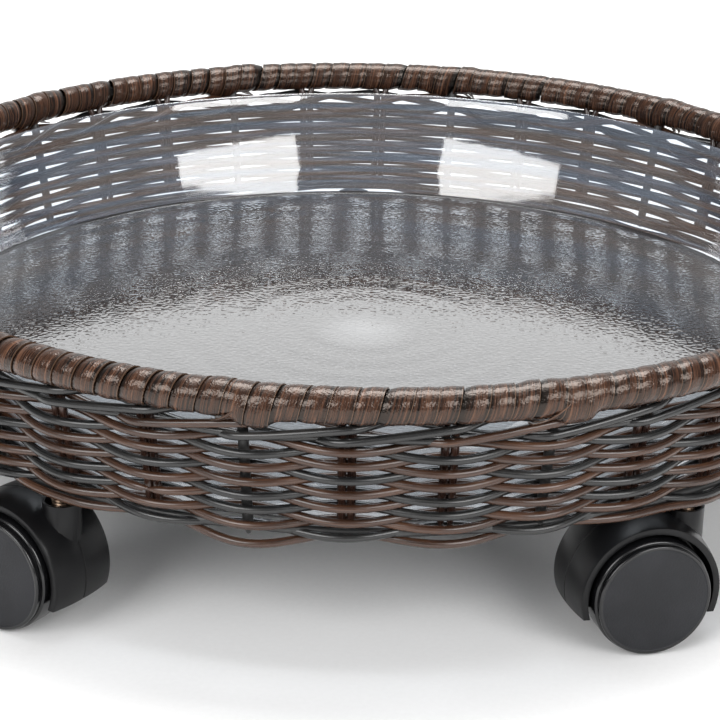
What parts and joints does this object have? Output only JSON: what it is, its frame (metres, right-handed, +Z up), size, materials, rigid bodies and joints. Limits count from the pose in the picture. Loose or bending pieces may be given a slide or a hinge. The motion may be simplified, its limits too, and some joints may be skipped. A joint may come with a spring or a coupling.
{
  "type": "plant pot caddy",
  "caption": "Round wicker caddy that carries a plant pot, with a wrapped rim, a clear lift-out saucer and twin-wheel swivel casters.",
  "frame": {"origin": "on the floor, under the middle of the rim", "axes": "+Z up, along the rim's axis; -Y is the front"},
  "size_m": [0.4048, 0.4048, 0.1094],
  "materials": {
    "black_steel": "satin black paint",
    "zinc": "yellowish zinc plate",
    "strip": "ribbed flat resin strip, brown with darker streaks, satin",
    "cane": "round resin cane, brown and dark grey, satin",
    "clear": "clear, pebbled on the floor",
    "hood_plastic": "satin moulded black",
    "wheel_plastic": "fine-grained moulded charcoal"
  },
  "bodies": {
    "frame": {"top_ring": "black_steel", "rim_wrap": "strip", "base_ring": "black_steel", "wicker_weave": "cane", "top_wale": "cane", "frame_rod_01": "black_steel", "frame_rod_02": "black_steel", "frame_rod_03": "black_steel", "frame_rod_04": "black_steel", "frame_rod_05": "black_steel", "frame_rod_06": "black_steel", "frame_rod_07": "black_steel", "frame_rod_08": "black_steel", "frame_rod_09": "black_steel", "frame_rod_10": "black_steel", "frame_rod_11": "black_steel", "frame_rod_12": "black_steel", "base_arm_1": "black_steel", "base_arm_2": "black_steel", "base_arm_3": "black_steel", "base_arm_4": "black_steel", "base_arm_5": "black_steel", "base_hub": "black_steel", "caster_1_stem": "zinc", "caster_2_stem": "zinc", "caster_3_stem": "zinc", "caster_4_stem": "zinc", "caster_5_stem": "zinc"},
    "saucer": {"saucer": "clear"},
    "caster_1_swivel_body": {"caster_1_hood": "hood_plastic", "caster_1_axle": "zinc"},
    "caster_1_wheel_left_body": {"caster_1_wheel_left": "wheel_plastic", "caster_1_cap_left": "wheel_plastic"},
    "caster_1_wheel_right_body": {"caster_1_wheel_right": "wheel_plastic", "caster_1_cap_right": "wheel_plastic"},
    "caster_2_swivel_body": {"caster_2_hood": "hood_plastic", "caster_2_axle": "zinc"},
    "caster_2_wheel_left_body": {"caster_2_wheel_left": "wheel_plastic", "caster_2_cap_left": "wheel_plastic"},
    "caster_2_wheel_right_body": {"caster_2_wheel_right": "wheel_plastic", "caster_2_cap_right": "wheel_plastic"},
    "caster_3_swivel_body": {"caster_3_hood": "hood_plastic", "caster_3_axle": "zinc"},
    "caster_3_wheel_left_body": {"caster_3_wheel_left": "wheel_plastic", "caster_3_cap_left": "wheel_plastic"},
    "caster_3_wheel_right_body": {"caster_3_wheel_right": "wheel_plastic", "caster_3_cap_right": "wheel_plastic"},
    "caster_4_swivel_body": {"caster_4_hood": "hood_plastic", "caster_4_axle": "zinc"},
    "caster_4_wheel_left_body": {"caster_4_wheel_left": "wheel_plastic", "caster_4_cap_left": "wheel_plastic"},
    "caster_4_wheel_right_body": {"caster_4_wheel_right": "wheel_plastic", "caster_4_cap_right": "wheel_plastic"},
    "caster_5_swivel_body": {"caster_5_hood": "hood_plastic", "caster_5_axle": "zinc"},
    "caster_5_wheel_left_body": {"caster_5_wheel_left": "wheel_plastic", "caster_5_cap_left": "wheel_plastic"},
    "caster_5_wheel_right_body": {"caster_5_wheel_right": "wheel_plastic", "caster_5_cap_right": "wheel_plastic"}
  },
  "joints": [
    {"name": "saucer_lift", "type": "slide", "parent": "frame", "child": "saucer", "axis": [0, 0, 1], "range_m": [0, 0.12]},
    {"name": "caster_1_swivel", "type": "hinge", "parent": "frame", "child": "caster_1_swivel_body", "pos_m": [-0.10181, -0.15038, 0.0447], "axis": [0, 0, 1], "continuous": true},
    {"name": "caster_1_roll_left", "type": "hinge", "parent": "caster_1_swivel_body", "child": "caster_1_wheel_left_body", "pos_m": [-0.11532, -0.14126, 0.021], "axis": [0.5592, 0.829, 0], "continuous": true},
    {"name": "caster_1_roll_right", "type": "hinge", "parent": "caster_1_swivel_body", "child": "caster_1_wheel_right_body", "pos_m": [-0.11532, -0.14126, 0.021], "axis": [0.5592, 0.829, 0], "continuous": true},
    {"name": "caster_2_swivel", "type": "hinge", "parent": "frame", "child": "caster_2_swivel_body", "pos_m": [0.11155, -0.1433, 0.0447], "axis": [0, 0, 1], "continuous": true},
    {"name": "caster_2_roll_left", "type": "hinge", "parent": "caster_2_swivel_body", "child": "caster_2_wheel_left_body", "pos_m": [0.09589, -0.14779, 0.021], "axis": [-0.2756, 0.9613, 0], "continuous": true},
    {"name": "caster_2_roll_right", "type": "hinge", "parent": "caster_2_swivel_body", "child": "caster_2_wheel_right_body", "pos_m": [0.09589, -0.14779, 0.021], "axis": [-0.2756, 0.9613, 0], "continuous": true},
    {"name": "caster_3_swivel", "type": "hinge", "parent": "frame", "child": "caster_3_swivel_body", "pos_m": [0.17076, 0.06181, 0.0447], "axis": [0, 0, 1], "continuous": true},
    {"name": "caster_3_roll_left", "type": "hinge", "parent": "caster_3_swivel_body", "child": "caster_3_wheel_left_body", "pos_m": [0.16261, 0.07593, 0.021], "axis": [0.866, 0.5, 0], "continuous": true},
    {"name": "caster_3_roll_right", "type": "hinge", "parent": "caster_3_swivel_body", "child": "caster_3_wheel_right_body", "pos_m": [0.16261, 0.07593, 0.021], "axis": [0.866, 0.5, 0], "continuous": true},
    {"name": "caster_4_swivel", "type": "hinge", "parent": "frame", "child": "caster_4_swivel_body", "pos_m": [-0.00602, 0.1815, 0.0447], "axis": [0, 0, 1], "continuous": true},
    {"name": "caster_4_roll_left", "type": "hinge", "parent": "caster_4_swivel_body", "child": "caster_4_wheel_left_body", "pos_m": [-0.00126, 0.16591, 0.021], "axis": [-0.9563, -0.2924, 0], "continuous": true},
    {"name": "caster_4_roll_right", "type": "hinge", "parent": "caster_4_swivel_body", "child": "caster_4_wheel_right_body", "pos_m": [-0.00126, 0.16591, 0.021], "axis": [-0.9563, -0.2924, 0], "continuous": true},
    {"name": "caster_5_swivel", "type": "hinge", "parent": "frame", "child": "caster_5_swivel_body", "pos_m": [-0.17448, 0.05036, 0.0447], "axis": [0, 0, 1], "continuous": true},
    {"name": "caster_5_roll_left", "type": "hinge", "parent": "caster_5_swivel_body", "child": "caster_5_wheel_left_body", "pos_m": [-0.16467, 0.06338, 0.021], "axis": [0.7986, -0.6018, 0], "continuous": true},
    {"name": "caster_5_roll_right", "type": "hinge", "parent": "caster_5_swivel_body", "child": "caster_5_wheel_right_body", "pos_m": [-0.16467, 0.06338, 0.021], "axis": [0.7986, -0.6018, 0], "continuous": true}
  ]
}
